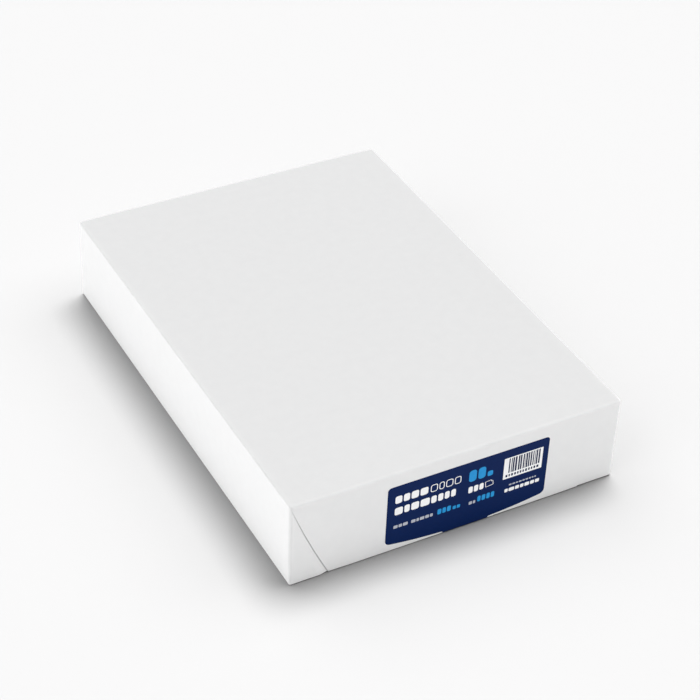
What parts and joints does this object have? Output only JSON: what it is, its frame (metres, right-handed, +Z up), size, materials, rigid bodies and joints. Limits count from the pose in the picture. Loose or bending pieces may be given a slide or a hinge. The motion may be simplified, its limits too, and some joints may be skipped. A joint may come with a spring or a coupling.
{
  "type": "ream of paper",
  "caption": "Sealed ream of A4 office paper in a plain folded wrapper, flaps folded over both ends, and a label on one end with a tab round the bottom edge.",
  "frame": {"origin": "on the floor under the middle of the pack, which lies flat on the side with its lap seam", "axes": "+Z up through the flat faces, +Y along the sheets away from the labelled end, +X to the right as the label is looked at"},
  "size_m": [0.2102, 0.2989, 0.0561],
  "materials": {
    "wrapper": "matte uncoated white wrapping paper, lightly calendered",
    "label": "satin coated label paper printed dark blue"
  },
  "bodies": {
    "root": {"wrapped_ream": "wrapper", "end_label": "label"}
  },
  "joints": []
}
